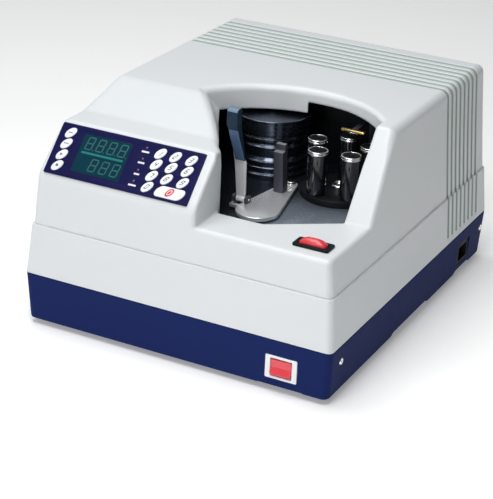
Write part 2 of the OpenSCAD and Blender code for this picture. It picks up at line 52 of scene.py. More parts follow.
def material(name, color, rough=0.5, metal=0.0, coat=0.0, coat_rough=0.1, spec=0.5, var=0.06, var_scale=60.0,
             rough_var=0.08, bump=0.05, bump_scale=900.0, bump_dist=0.0002, brushed=None, trans=0.0, ior=1.5, aniso=0.0,
             fleck=None, sheen=0.0):
    """A procedural finish: colour drifts a little, roughness is uneven, and the surface has a fine grain."""
    m = bpy.data.materials.new(name)
    m.use_nodes = True
    nt = m.node_tree
    N, L = nt.nodes, nt.links
    b = N["Principled BSDF"]
    tc = N.new("ShaderNodeTexCoord")
    mp = N.new("ShaderNodeMapping")
    L.new(tc.outputs["Object"], mp.inputs["Vector"])
    if brushed:
        mp.inputs["Scale"].default_value = brushed
    n1 = N.new("ShaderNodeTexNoise")
    n1.inputs["Scale"].default_value = var_scale
    n1.inputs["Detail"].default_value = 4.0
    L.new(tc.outputs["Object"], n1.inputs["Vector"])
    ramp = N.new("ShaderNodeMix")
    ramp.data_type = "RGBA"
    lo = tuple(max(0.0, c * (1 - var)) for c in color[:3]) + (1,)
    hi = tuple(min(1.0, c * (1 + var)) for c in color[:3]) + (1,)
    ramp.inputs["A"].default_value = lo
    ramp.inputs["B"].default_value = hi
    L.new(n1.outputs["Fac"], ramp.inputs["Factor"])
    out_col = ramp.outputs["Result"]
    n2 = N.new("ShaderNodeTexNoise")
    n2.inputs["Scale"].default_value = bump_scale
    n2.inputs["Detail"].default_value = 3.0
    n2.inputs["Roughness"].default_value = 0.55
    L.new(mp.outputs["Vector"], n2.inputs["Vector"])
    if fleck:
        fm = N.new("ShaderNodeMix")
        fm.data_type = "RGBA"
        gr = N.new("ShaderNodeMapRange")
        gr.inputs["From Min"].default_value = fleck[1]
        gr.inputs["From Max"].default_value = fleck[1] + 0.08
        L.new(n2.outputs["Fac"], gr.inputs["Value"])
        L.new(gr.outputs["Result"], fm.inputs["Factor"])
        L.new(out_col, fm.inputs["A"])
        fm.inputs["B"].default_value = fleck[0]
        out_col = fm.outputs["Result"]
    L.new(out_col, b.inputs["Base Color"])
    rr = N.new("ShaderNodeMapRange")
    rr.inputs["To Min"].default_value = max(0.02, rough - rough_var)
    rr.inputs["To Max"].default_value = min(1.0, rough + rough_var)
    n3 = N.new("ShaderNodeTexNoise")
    n3.inputs["Scale"].default_value = bump_scale * 0.15 if brushed else var_scale * 2.3
    n3.inputs["Detail"].default_value = 5.0
    L.new(mp.outputs["Vector"] if brushed else tc.outputs["Object"], n3.inputs["Vector"])
    L.new(n3.outputs["Fac"], rr.inputs["Value"])
    L.new(rr.outputs["Result"], b.inputs["Roughness"])
    bp = N.new("ShaderNodeBump")
    bp.inputs["Strength"].default_value = bump
    bp.inputs["Distance"].default_value = bump_dist
    L.new(n2.outputs["Fac"], bp.inputs["Height"])
    L.new(bp.outputs["Normal"], b.inputs["Normal"])
    b.inputs["Metallic"].default_value = metal
    b.inputs["Coat Weight"].default_value = coat
    b.inputs["Coat Roughness"].default_value = coat_rough
    b.inputs["Specular IOR Level"].default_value = spec
    b.inputs["IOR"].default_value = ior
    b.inputs["Transmission Weight"].default_value = trans
    b.inputs["Anisotropic"].default_value = aniso
    b.inputs["Sheen Weight"].default_value = sheen
    m.diffuse_color = color
    return m


MAT = {
    "cover": material("cover_white", srgb(222, 226, 228), rough=0.42, var=0.012, var_scale=9, rough_var=0.05, bump=0.10, bump_scale=1500, bump_dist=0.00012, coat=0.12, coat_rough=0.3),
    # darker grey-green for the faces deep in the rear grooves: painted shade in the groove valleys
    "groove": material("groove_shade", srgb(150, 165, 158), rough=0.6, var=0.05, bump=0.05),
    "base": material("base_navy", srgb(26, 40, 92), rough=0.6, var=0.05, var_scale=12, rough_var=0.06, bump=0.16, bump_scale=1300, bump_dist=0.00015, spec=0.05),
    "rubber": material("black_rubber", srgb(24, 24, 25), rough=0.75, var=0.2, bump=0.3, bump_scale=700, spec=0.3),
    "zinc": material("zinc_plate", (0.55, 0.57, 0.6, 1), rough=0.32, metal=1.0, var=0.08, var_scale=90, brushed=(1, 12, 1), bump=0.08, bump_scale=400),
    "deck": material("deck_steel", srgb(150, 160, 174), rough=0.26, metal=0.6, var=0.08, var_scale=14, rough_var=0.05, bump=0.02, bump_scale=500),
    "liner": material("liner_black", srgb(14, 16, 20), rough=0.45, var=0.2, bump=0.12, bump_scale=900, spec=0.35),
    "drum": material("drum_lacquer", srgb(84, 92, 108), rough=0.27, metal=0.95, var=0.10, var_scale=25, rough_var=0.04, bump=0.04, bump_scale=300, brushed=(1, 1, 14), coat=0.5, coat_rough=0.08, aniso=0.85),
    "yzinc": material("yellow_zinc", srgb(222, 190, 112), rough=0.3, metal=0.9, var=0.12, var_scale=70, bump=0.06, bump_scale=500),
    "chrome": material("bright_chrome", (0.88, 0.89, 0.90, 1), rough=0.17, metal=1.0, var=0.03, var_scale=80, rough_var=0.05, bump=0.03, bump_scale=300, brushed=(1, 1, 10)),
    "clampsteel": material("clamp_steel", (0.90, 0.91, 0.93, 1), rough=0.25, metal=0.7, var=0.03, var_scale=40, rough_var=0.02, bump=0.01, bump_scale=300),
    "alloy": material("cast_alloy", (0.5, 0.52, 0.55, 1), rough=0.42, metal=1.0, var=0.1, var_scale=120, bump=0.2, bump_scale=700),
    "brass": material("gear_brass", srgb(206, 170, 88), rough=0.28, metal=1.0, var=0.08, var_scale=120, bump=0.05),
    "motor": material("motor_grey", srgb(66, 69, 73), rough=0.4, metal=0.3, var=0.08, bump=0.15),
    "lamin": material("laminations", srgb(120, 98, 66), rough=0.5, metal=0.3, var=0.25, var_scale=40, brushed=(1, 1, 30), bump=0.3, bump_scale=300),
    "pcb": material("board_green", srgb(24, 92, 54), rough=0.3, var=0.15, var_scale=300, coat=0.4, bump=0.08),
    "overlay": material("overlay_indigo", srgb(20, 20, 70), rough=0.5, var=0.10, var_scale=14, rough_var=0.05, bump=0.08, bump_scale=1600, spec=0.1),
    "window": material("window_teal", srgb(4, 51, 66), rough=0.16, var=0.14, var_scale=22, rough_var=0.03, bump=0.012, spec=0.2),
    "winedge": material("window_green", srgb(14, 74, 50), rough=0.2, var=0.1, coat=0.6),
    "seg": material("segment_grey_green", srgb(50, 96, 96), rough=0.3, var=0.12, var_scale=160, bump=0.03, spec=0.3),
    "bar": material("divider_green", srgb(34, 118, 116), rough=0.3, var=0.08, var_scale=60, bump=0.03, spec=0.3),
    "print": material("print_white", srgb(226, 222, 240), rough=0.45, var=0.03, bump=0.05),
    "printgrey": material("print_grey", srgb(92, 98, 112), rough=0.5, var=0.05, bump=0.05),
    "printred": material("print_red", srgb(214, 60, 66), rough=0.4, var=0.05, bump=0.05),
    "lamp": material("lamp_lens", srgb(122, 84, 140), rough=0.15, var=0.1, coat=0.8, bump=0.02),
    "key": material("key_white", srgb(238, 241, 246), rough=0.3, var=0.015, var_scale=40, bump=0.04, bump_scale=1500, coat=0.25, coat_rough=0.15),
    "bwhite": material("bezel_white", srgb(240, 241, 244), rough=0.25, var=0.015, bump=0.04, coat=0.3),
    "bblack": material("bezel_black", srgb(9, 20, 23), rough=0.4, var=0.15, bump=0.06, spec=0.15),
    "red": material("button_red", srgb(232, 62, 74), rough=0.22, var=0.04, var_scale=30, rough_var=0.04, bump=0.03, coat=0.6, coat_rough=0.08),
    "domered": material("dome_red", srgb(226, 60, 72), rough=0.3, var=0.04, var_scale=40, rough_var=0.04, bump=0.02, coat=0.35, coat_rough=0.12),
    "neck": material("matt_black", srgb(12, 13, 15), rough=0.5, var=0.2, var_scale=60, bump=0.04, spec=0.15),
    "table": material("table_dark", srgb(15, 17, 21), rough=0.5, spec=0.2, var=0.1, var_scale=30, bump=0.03),
    "leversteel": material("lever_steel", (0.93, 0.94, 0.95, 1), rough=0.33, metal=0.35, var=0.03, var_scale=60, rough_var=0.04, bump=0.04, bump_scale=500, brushed=(1, 1, 10)),
    "black": material("gloss_black", srgb(18, 19, 22), rough=0.13, var=0.2, var_scale=60, rough_var=0.04, bump=0.02, coat=0.8, coat_rough=0.05),
    "jaw": material("jaw_grey", srgb(66, 68, 78), rough=0.42, metal=0.25, var=0.08, bump=0.16, bump_scale=900),
    # lighter grey for the jaw's upward top faces: painted highlight where the top catches the light
    "jaw_painted_lit_top": material("jaw_top_painted_highlight", srgb(126, 128, 132), rough=0.4, metal=0.3, var=0.2, var_scale=160, bump=0.2),
    # one blue grip moulding in three tones: the two lighter blues below are painted light for its raked front pad and
    # its top
    "grip": material("grip_blue", srgb(9, 40, 60), rough=0.45, var=0.06, bump=0.12, bump_scale=1100, spec=0.25),
    "grip_painted_lit_face": material("grip_face_painted_light", srgb(72, 96, 126), rough=0.42, var=0.08, var_scale=90, bump=0.15, bump_scale=1500),
    "grip_painted_lit_top": material("grip_top_painted_light", srgb(108, 130, 150), rough=0.36, var=0.05, bump=0.1),
    "hole": material("deep_black", srgb(8, 9, 10), rough=0.6, var=0.1, bump=0.05, spec=0.2),
}
# painted shade on the deck: its steel colour blends to a dark blue-grey towards the rear and the left, deep under the
# cover, and keeps the full steel tone only at the front right
nt = MAT["deck"].node_tree
pb = nt.nodes["Principled BSDF"]
old = pb.inputs["Base Color"].links[0].from_socket
dtc, dsp = nt.nodes.new("ShaderNodeTexCoord"), nt.nodes.new("ShaderNodeSeparateXYZ")
nt.links.new(dtc.outputs["Object"], dsp.inputs["Vector"])
fx, fy, fm_, deck_painted_shade_mix = nt.nodes.new("ShaderNodeMapRange"), nt.nodes.new("ShaderNodeMapRange"), nt.nodes.new("ShaderNodeMath"), nt.nodes.new("ShaderNodeMix")
for node_, sock, a_, b_ in ((fx, "X", 0.012, 0.070), (fy, "Y", -0.020, -0.095)):
    node_.interpolation_type = "SMOOTHSTEP"
    nt.links.new(dsp.outputs[sock], node_.inputs["Value"])
    node_.inputs["From Min"].default_value = a_
    node_.inputs["From Max"].default_value = b_
fm_.operation = "MULTIPLY"
nt.links.new(fx.outputs["Result"], fm_.inputs[0])
nt.links.new(fy.outputs["Result"], fm_.inputs[1])
deck_painted_shade_mix.data_type = "RGBA"
nt.links.new(fm_.outputs["Value"], deck_painted_shade_mix.inputs["Factor"])
deck_painted_shade_mix.inputs["A"].default_value = srgb(36, 41, 50)
nt.links.new(old, deck_painted_shade_mix.inputs["B"])
nt.links.new(deck_painted_shade_mix.outputs["Result"], pb.inputs["Base Color"])
for k, m in MAT.items():
    m.name = k + "_finish"
# turned metal: the highlight runs up and down, across the lathe marks
MAT["drum"].node_tree.nodes["Principled BSDF"].inputs["Anisotropic Rotation"].default_value = 0.25

# ---------------------------------------------------------------- mesh helpers (millimetres, shifted to metres at the end)

def finish_mesh(name, me, mats, node=None, body="base", matrix=None, smooth=True, angle=35.0, nodes=None):
    o = bpy.data.objects.new(name, me)
    scene.collection.objects.link(o)
    if matrix is not None:
        me.transform(matrix)
    me.transform(Matrix.Translation((0, YS, 0)))
    me.transform(Matrix.Scale(0.001, 4))
    for m in (mats if isinstance(mats, (list, tuple)) else [mats]):
        me.materials.append(m)
    if smooth:
        me.shade_smooth()
        if angle is not None:
            me.set_sharp_from_angle(angle=math.radians(angle))
    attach(o, body)
    names = nodes or ([node] if node else [])
    if names:
        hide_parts(*names)
    return o


def mesh_from(verts, faces, mat_index=None):
    me = bpy.data.meshes.new("m")
    me.from_pydata([tuple(v) for v in verts], [], [tuple(f) for f in faces])
    if mat_index is not None:
        me.polygons.foreach_set("material_index", mat_index)
    me.validate()
    me.update()
    return me


def join_meshes(parts):
    """parts: list of (mesh, material index) joined into one mesh."""
    bm = bmesh.new()
    for me, mi in parts:
        n0 = len(bm.faces)
        bm.from_mesh(me)
        bm.faces.ensure_lookup_table()
        if mi is not None:
            for f in bm.faces[n0:]:
                f.material_index = mi
        bpy.data.meshes.remove(me)
    out = bpy.data.meshes.new("j")
    bm.to_mesh(out)
    bm.free()
    return out


def lathe(profile, n=96, center=(0, 0), closed=False):
    """Surface of revolution about a vertical axis; profile is [(r, z)] from the bottom axis point to the top one."""
    bm = bmesh.new()
    rings = []
    for r, z in profile:
        if r < 1e-6:
            rings.append([bm.verts.new((center[0], center[1], z))])
        else:
            rings.append([bm.verts.new((center[0] + r * math.cos(2 * math.pi * i / n), center[1] + r * math.sin(2 * math.pi * i / n), z)) for i in range(n)])
    pairs = list(zip(rings[:-1], rings[1:]))
    if closed:
        pairs.append((rings[-1], rings[0]))
    for a, b in pairs:
        for i in range(n):
            j = (i + 1) % n
            if len(a) == 1 and len(b) == 1:
                continue
            if len(a) == 1:
                bm.faces.new((a[0], b[j], b[i]))
            elif len(b) == 1:
                bm.faces.new((a[i], a[j], b[0]))
            else:
                bm.faces.new((a[i], a[j], b[j], b[i]))
    bmesh.ops.recalc_face_normals(bm, faces=bm.faces)
    me = bpy.data.meshes.new("l")
    bm.to_mesh(me)
    bm.free()
    return me


def soften(profile, r=0.4, k=3):
    """Rounds the corners of an open (r, z) or (x, y) polyline."""
    out = [profile[0]]
    for a, b, c in zip(profile[:-2], profile[1:-1], profile[2:]):
        a, b, c = map(np.array, (a, b, c))
        la, lc = np.linalg.norm(a - b), np.linalg.norm(c - b)
        d = min(r, la * 0.45, lc * 0.45)
        if la < 1e-6 or lc < 1e-6:
            continue
        p, q = b + (a - b) / la * d, b + (c - b) / lc * d
        for i in range(k + 1):
            t = i / k
            out.append(tuple((1 - t) ** 2 * p + 2 * t * (1 - t) * b + t * t * q))
    out.append(profile[-1])
    return out


def rring(x0, y0, x1, y1, r, n=6):
    pts = []
    for cx, cy, a in ((x1 - r, y0 + r, -90), (x1 - r, y1 - r, 0), (x0 + r, y1 - r, 90), (x0 + r, y0 + r, 180)):
        for i in range(n + 1):
            t = math.radians(a + 90 * i / n)
            pts.append((cx + r * math.cos(t), cy + r * math.sin(t)))
    return pts


def oval(cx, cy, a, b, n=48):
    return [(cx + a * math.cos(2 * math.pi * i / n), cy + b * math.sin(2 * math.pi * i / n)) for i in range(n)]


def plate(loops, z0, z1, bevel=0.15, res=2):
    """A flat plate with holes: loops of 2-D points (the first is the outline), from z0 to z1, with rounded edges."""
    cu = bpy.data.curves.new("c", "CURVE")
    cu.dimensions = "2D"
    cu.fill_mode = "BOTH"
    h = (z1 - z0) / 2
    bevel = min(bevel, h * 0.9)
    cu.extrude = h - bevel
    cu.bevel_depth = bevel
    cu.bevel_resolution = res
    cu.offset = -bevel
    for lp in loops:
        sp = cu.splines.new("POLY")
        sp.points.add(len(lp) - 1)
        for i, p in enumerate(lp):
            sp.points[i].co = (p[0], p[1], 0, 1)
        sp.use_cyclic_u = True
    o = bpy.data.objects.new("c", cu)
    scene.collection.objects.link(o)
    dg = bpy.context.evaluated_depsgraph_get()
    me = bpy.data.meshes.new_from_object(o.evaluated_get(dg))
    bpy.data.objects.remove(o)
    bpy.data.curves.remove(cu)
    me.transform(Matrix.Translation((0, 0, (z0 + z1) / 2)))
    bm = bmesh.new()
    bm.from_mesh(me)
    bmesh.ops.remove_doubles(bm, verts=bm.verts, dist=1e-4)
    bmesh.ops.recalc_face_normals(bm, faces=bm.faces)
    bm.to_mesh(me)
    bm.free()
    return me


def loft(rings, cap0=True, cap1=True, closed=False):
    """Skins closed rings of equal point count."""
    bm = bmesh.new()
    R = [[bm.verts.new(tuple(p)) for p in ring] for ring in rings]
    n = len(R[0])
    pr = list(zip(R[:-1], R[1:])) + ([(R[-1], R[0])] if closed else [])
    for a, b in pr:
        for i in range(n):
            j = (i + 1) % n
            bm.faces.new((a[i], a[j], b[j], b[i]))
    if not closed:
        if cap0:
            bm.faces.new(R[0][::-1])
        if cap1:
            bm.faces.new(R[-1])
    bmesh.ops.recalc_face_normals(bm, faces=bm.faces)
    me = bpy.data.meshes.new("loft")
    bm.to_mesh(me)
    bm.free()
    return me


def pillow(outline, steps):
    """A cap: the outline is pulled in by each step's inset and put at its height, then closed by a flat face at each
    end.
    """
    P = np.array(outline, float)
    c = (P.max(0) + P.min(0)) / 2
    half = (P.max(0) - P.min(0)) / 2
    rings = []
    for ins, z in steps:
        s = np.maximum(1 - ins / half, 0.02)
        rings.append([(c[0] + (p[0] - c[0]) * s[0], c[1] + (p[1] - c[1]) * s[1], z) for p in P])
    return loft(rings)


def cad_bevel(node, name, mats, width=0.5, segs=2, body="base", angle=35, only=None):
    """A rounded copy of a CAD node's own shape."""
    src = NODES[node]
    me = src.data.copy()
    bm = bmesh.new()
    bm.from_mesh(me)
    bmesh.ops.remove_doubles(bm, verts=bm.verts, dist=2e-6)
    bmesh.ops.dissolve_limit(bm, angle_limit=math.radians(1.0), verts=bm.verts, edges=bm.edges)
    bm.to_mesh(me)
    bm.free()
    me.materials.clear()
    o = bpy.data.objects.new(name, me)
    scene.collection.objects.link(o)
    md = o.modifiers.new("b", "BEVEL")
    md.width = width / 1000
    md.segments = segs
    md.limit_method = "ANGLE"
    md.angle_limit = math.radians(angle)
    md.harden_normals = False
    dg = bpy.context.evaluated_depsgraph_get()
    me2 = bpy.data.meshes.new_from_object(o.evaluated_get(dg))
    bpy.data.objects.remove(o)
    o = bpy.data.objects.new(name, me2)
    scene.collection.objects.link(o)
    for m in (mats if isinstance(mats, (list, tuple)) else [mats]):
        me2.materials.append(m)
    me2.shade_smooth()
    me2.set_sharp_from_angle(angle=math.radians(40))
    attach(o, body)
    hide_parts(node)
    return o

# ---------------------------------------------------------------- solids as signed distances, skinned with surface nets

def poly_sd(px, py, V):
    px, py = np.broadcast_arrays(px, py)
    V = np.asarray(V, np.float32)
    d = np.full(px.shape, 1e12, np.float32)
    s = np.ones(px.shape, np.float32)
    n = len(V)
    for i in range(n):
        j = i - 1
        ex, ey = V[j][0] - V[i][0], V[j][1] - V[i][1]
        wx, wy = px - V[i][0], py - V[i][1]
        t = np.clip((wx * ex + wy * ey) / (ex * ex + ey * ey), 0, 1)
        bx, by = wx - ex * t, wy - ey * t
        d = np.minimum(d, bx * bx + by * by)
        c1, c2, c3 = py >= V[i][1], py < V[j][1], ex * wy > ey * wx
        flip = (c1 & c2 & c3) | (~c1 & ~c2 & ~c3)
        s = np.where(flip, -s, s)
    return s * np.sqrt(d)


def inset_poly(P, t):
    P = [np.array(p, float) for p in P]
    n = len(P)
    out = []
    for i in range(n):
        a, b, c = P[i - 1], P[i], P[(i + 1) % n]
        u, v = (b - a) / np.linalg.norm(b - a), (c - b) / np.linalg.norm(c - b)
        m, k = np.array([-u[1], u[0]]), np.array([-v[1], v[0]])
        out.append(b + t * (m + k) / (1 + m @ k))
    return out


def rmax(a, b, r):
    return np.minimum(np.maximum(a, b), -r) + np.sqrt(np.maximum(a + r, 0) ** 2 + np.maximum(b + r, 0) ** 2)


def rmin(a, b, r):
    return -rmax(-a, -b, r)


def rect_sd(x, y, hx, yc, hy, r):
    qx, qy = np.abs(x) - (hx - r), np.abs(y - yc) - (hy - r)
    return np.sqrt(np.maximum(qx, 0) ** 2 + np.maximum(qy, 0) ** 2) + np.minimum(np.maximum(qx, qy), 0) - r


def surface_nets(f, xs, ys, zs, project=2):
    X, Y, Z = xs[:, None, None], ys[None, :, None], zs[None, None, :]
    F = np.ascontiguousarray(np.broadcast_to(f(X, Y, Z), (len(xs), len(ys), len(zs)))).astype(np.float32)
    S = F < 0
    nx, ny, nz = S.shape
    C = np.zeros((nx - 1, ny - 1, nz - 1), np.uint8)
    for dx in (0, 1):
        for dy in (0, 1):
            for dz in (0, 1):
                C += S[dx:nx - 1 + dx, dy:ny - 1 + dy, dz:nz - 1 + dz]
    act = (C > 0) & (C < 8)
    idx = np.full(C.shape, -1, np.int32)
    ai = np.argwhere(act)
    idx[act] = np.arange(len(ai))
    sumP = np.zeros((len(ai), 3))
    cnt = np.zeros(len(ai))
    grids = (xs, ys, zs)
    corners = [(dx, dy, dz) for dx in (0, 1) for dy in (0, 1) for dz in (0, 1)]
    val = {c: F[ai[:, 0] + c[0], ai[:, 1] + c[1], ai[:, 2] + c[2]] for c in corners}
    for ax in range(3):
        for c in corners:
            if c[ax]:
                continue
            e = list(c)
            e[ax] = 1
            a, b = val[c], val[tuple(e)]
            m = (a < 0) != (b < 0)
            t = np.where(m, a / np.where(m, a - b, 1), 0)
            P = np.stack([grids[k][ai[:, k] + c[k]] for k in range(3)], -1).astype(float)
            q = grids[ax][ai[:, ax] + 1] - grids[ax][ai[:, ax]]
            P[:, ax] += t * q
            sumP[m] += P[m]
            cnt[m] += 1
    P = sumP / cnt[:, None]
    lo = np.stack([grids[k][ai[:, k]] for k in range(3)], -1)
    hi = np.stack([grids[k][ai[:, k] + 1] for k in range(3)], -1)
    for _ in range(project):
        h = 0.05
        v = f(P[:, 0], P[:, 1], P[:, 2])
        g = np.stack([f(P[:, 0] + h, P[:, 1], P[:, 2]) - f(P[:, 0] - h, P[:, 1], P[:, 2]),
                      f(P[:, 0], P[:, 1] + h, P[:, 2]) - f(P[:, 0], P[:, 1] - h, P[:, 2]),
                      f(P[:, 0], P[:, 1], P[:, 2] + h) - f(P[:, 0], P[:, 1], P[:, 2] - h)], -1) / (2 * h)
        n2 = np.maximum((g ** 2).sum(-1), 0.2)
        step = -(v / n2)[:, None] * g
        P = np.clip(P + step, lo - 0.15 * (hi - lo), hi + 0.15 * (hi - lo))
    faces = []
    for ax in range(3):
        a = [slice(None)] * 3
        b = [slice(None)] * 3
        a[ax], b[ax] = slice(0, -1), slice(1, None)
        A, B = S[tuple(a)], S[tuple(b)]
        e = np.argwhere(A != B)
        o1, o2 = [k for k in range(3) if k != ax]
        ok = (e[:, o1] > 0) & (e[:, o1] < S.shape[o1] - 1) & (e[:, o2] > 0) & (e[:, o2] < S.shape[o2] - 1)
        e = e[ok]
        ins = A[e[:, 0], e[:, 1], e[:, 2]]
        q = []
        for d1, d2 in ((1, 1), (0, 1), (0, 0), (1, 0)):
            c = e.copy()
            c[:, o1] -= d1
            c[:, o2] -= d2
            q.append(idx[c[:, 0], c[:, 1], c[:, 2]])
        q = np.stack(q, -1)
        flip = ins if ax != 1 else ~ins
        q[~flip] = q[~flip][:, ::-1]
        faces.append(q)
    return P, np.concatenate(faces)


def mesh_np(P, Q):
    me = bpy.data.meshes.new("sn")
    me.vertices.add(len(P))
    me.vertices.foreach_set("co", np.asarray(P, np.float32).ravel())
    me.loops.add(len(Q) * 4)
    me.loops.foreach_set("vertex_index", np.asarray(Q, np.int32).ravel())
    me.polygons.add(len(Q))
    me.polygons.foreach_set("loop_start", np.arange(0, len(Q) * 4, 4, dtype=np.int32))
    me.polygons.foreach_set("loop_total", np.full(len(Q), 4, np.int32))
    me.update(calc_edges=True)
    me.validate()
    return me


def lines(lo, hi, step, extra=()):
    """Grid lines of about that step, with finer ones wherever extra names (centre, half width, step)."""
    pts = list(np.arange(lo, hi + step * 0.5, step))
    for c, w, s in extra:
        pts = [p for p in pts if abs(p - c) > w + s * 0.6]
        pts += list(np.arange(c - w, c + w + s * 0.5, s))
    return np.array(sorted(pts))

# ---------------------------------------------------------------- the cover

JZ, BZ, RZ, WALL = 58.15, 112.4, 233.5, 3.2
BLOCK_X = 18.2
PANEL_A = math.atan2(46, 44)
side_panel = [(-240, 30), (240, 30), (240, 233.5), (-60, 233.5), (-66, 232.2), (-126, 214.7), (-130, 214), (-162, 214), (-206, 168), (-240, 132.45)]
side_pocket = [(-240, 30), (240, 30), (240, 233.5), (-50.5, 233.5), (-112.5, 151), (-240, 151)]
arc_c, arc_r = (40.0, -103.0), 119.0
a0, a1 = math.atan2(70.3, 96), math.radians(151.7)


def smooth(t):
    t = np.clip(t, 0, 1)
    return t * t * (3 - 2 * t)


def arch_at(t):
    r = arc_r - 6.5 * float(smooth((math.degrees(t) - 45) / 70))
    return arc_c[0] + r * math.cos(t), arc_c[1] + r * math.sin(t)


pocket = [(19.5, -160), (70, -160), (136, -115)] + [arch_at(a0 + (a1 - a0) * i / 72) for i in range(73)] + [(17, -151)]
SP = inset_poly(side_panel, 4.0)
SK = inset_poly(side_pocket, 5.0)


def panel_local(x, y, z):
    """Coordinates in the control panel's own frame: across, up the slope, out of it."""
    c, s = math.cos(PANEL_A), math.sin(PANEL_A)
    dy, dz = y + 206.0, z - 168.0
    return x, dy * c + dz * s, -dy * s + dz * c


def cover_outer(x, y, z):
    hx = 175 - 4.5 * (z - JZ) / (BZ - JZ)
    hy = 213.5 - 4.5 * (z - JZ) / (BZ - JZ)
    band = rect_sd(x, y, hx, 0, hy, 7.0)
    band = rmax(band, z - BZ, 1.0)
    band = rmax(band, JZ + 0.25 - z, 0.7)
    hu = 168.8 - 0.0851 * (z - BZ) - 0.35 * np.sin(np.clip((z - BZ) / (RZ - BZ), 0, 1) * math.pi)
    yf = -207.4 + 0.018 * (z - BZ) + np.maximum(z - 149.3, 0) * 0.035
    yr = 207.6 - 0.026 * (z - BZ)
    up = rect_sd(x, y, hu, (yf + yr) / 2, (yr - yf) / 2, 7.0)
    left = rmax(poly_sd(y, z, SP) - 4.0, x - BLOCK_X - np.clip((168 - z) * 0.02, 0, 1), 3.6)
    right = poly_sd(y, z, SK) - 5.0
    prof = np.maximum(rmin(left, right, 2.5), z - RZ)
    up = rmax(up, prof, 5.0 + 4.0 * smooth((z - 205) / 18))
    gap = np.maximum(np.abs(z - (BZ + 0.4)) - 0.4, -(up + 0.6))
    up = np.maximum(up, -gap)
    up = np.maximum(up, BZ - 6 - z)
    return np.minimum(band, up)


def cover_uncut(x, y, z):
    hx = 175 - 4.5 * (z - JZ) / (BZ - JZ)
    hy = 213.5 - 4.5 * (z - JZ) / (BZ - JZ)
    band = np.maximum(rect_sd(x, y, hx, 0, hy, 7.0), z - BZ)
    hu = 168.8 - 0.0851 * (z - BZ)
    up = rect_sd(x, y, hu, 0, 206.5 - 0.02 * (z - BZ), 7.0)
    left = np.maximum(poly_sd(y, z, SP) - 4.0, x - BLOCK_X)
    prof = np.minimum(left, poly_sd(y, z, SK) - 5.0)
    up = rmax(up, np.maximum(prof, z - RZ), 7.0)
    return np.minimum(band, up)


def cover_sd(x, y, z):
    out = cover_outer(x, y, z)
    draft = np.interp(y, [-150, -118, -72, -27], [0.0, 0.2, 0.45, 0.75])
    pk = np.maximum(poly_sd(x, y, pocket), -(0.813 * x + 0.583 * y + 77 - draft * np.clip(RZ - z, 0, 30)) / np.sqrt(1 + draft ** 2))
    lip = 7.0 - 2.5 * smooth((x - 50) / 65)
    cut = rmax(out, -np.maximum(pk, 130 - z), 1.6 + (lip - 1.6) * smooth((z - 196) / 18))
    ring = np.abs(pk - 1.5) - 1.5
    zlow = np.where(x < 33, 207.0, 219.0 - 2.0 * smooth((x - 80) / 50))
    zlow = np.where((y < -149) & (x < 19.6), 144.0, zlow)
    zlow = np.where((x >= 19.6) & (y < -60), 144.0, zlow)
    zlow = np.where((x > 132) & (y < -33), 144.0, zlow)
    curtain = rmax(ring, zlow - z, 1.2)
    void = rmax(cover_uncut(x, y, z) + WALL, -curtain, 0.8)
    void = np.maximum(void, np.where(z > 221.5, cut + 3.0, -1e3))
    body = np.maximum(cut, -void)
    lx, ls, ln = panel_local(x, y, z)
    for xa, xb, sa, sb in ((-152.6, -136.2, 5.6, 57.4), (-129, -72, 10, 53.7), (-48, 4.6, 5.2, 57.2)):
        bx = np.maximum(np.maximum(np.abs(lx - (xa + xb) / 2) - (xb - xa) / 2, np.abs(ls - (sa + sb) / 2) - (sb - sa) / 2), np.abs(ln) - 7)
        body = np.maximum(body, -bx)
    sb_ = np.maximum(np.maximum(np.abs(x - 135) - 16.6, np.abs(y + 181.5) - 7.1), np.abs(z - 150) - 9)
    return np.maximum(body, -sb_)


RIBS = [93 + 12.3 * i for i in range(8)]
STEP = 1.7
xs = lines(-178, 178, STEP, [(BLOCK_X, 3.4, 0.8), (-158, 8, 1.2), (158, 8, 1.2)])
ys = lines(-217, 217, STEP, [(-207, 4, 1.0), (-150.5, 1.0, 1.0)] + [(r, 4.0, 0.7) for r in RIBS])
zs = lines(56, 236, STEP, [(JZ, 1.6, 0.4), (BZ + 0.4, 2.4, 0.4), (149.5, 3.2, 0.8), (214, 2, 1.0), (228, 7, 1.2)])
P, Q = surface_nets(cover_sd, xs, ys, zs)
# grooves round the rear: the outer skin sinks along its own normal
do = cover_outer(P[:, 0], P[:, 1], P[:, 2])
outer = np.abs(do) < 0.35
h = 0.3
g = np.stack([cover_outer(P[:, 0] + h, P[:, 1], P[:, 2]) - cover_outer(P[:, 0] - h, P[:, 1], P[:, 2]),
              np.zeros(len(P)), cover_outer(P[:, 0], P[:, 1], P[:, 2] + h) - cover_outer(P[:, 0], P[:, 1], P[:, 2] - h)], -1)
g /= np.maximum(np.linalg.norm(g, axis=1), 1e-6)[:, None]
dep = np.zeros(len(P))
for r in RIBS:
    d = np.abs(P[:, 1] - r)
    dep = np.maximum(dep, smooth((3.9 - d) / 3.2))
fade = np.clip((P[:, 2] - 63.0) / 1.5, 0, 1)
P[outer] -= (g * (1.4 * dep * fade)[:, None])[outer]
me = mesh_np(P, Q)
# faces deep in the grooves take the darker grey-green: painted shade in the valleys
fz = np.array([outer[q].all() and dep[q].mean() > 0.3 and fade[q].min() > 0.5 for q in Q])
me.polygons.foreach_set("material_index", fz.astype(np.int32))
cover = finish_mesh("top_cover_shell", me, [MAT["cover"], MAT["groove"]], node="top_cover", angle=None)

# ---------------------------------------------------------------- the base

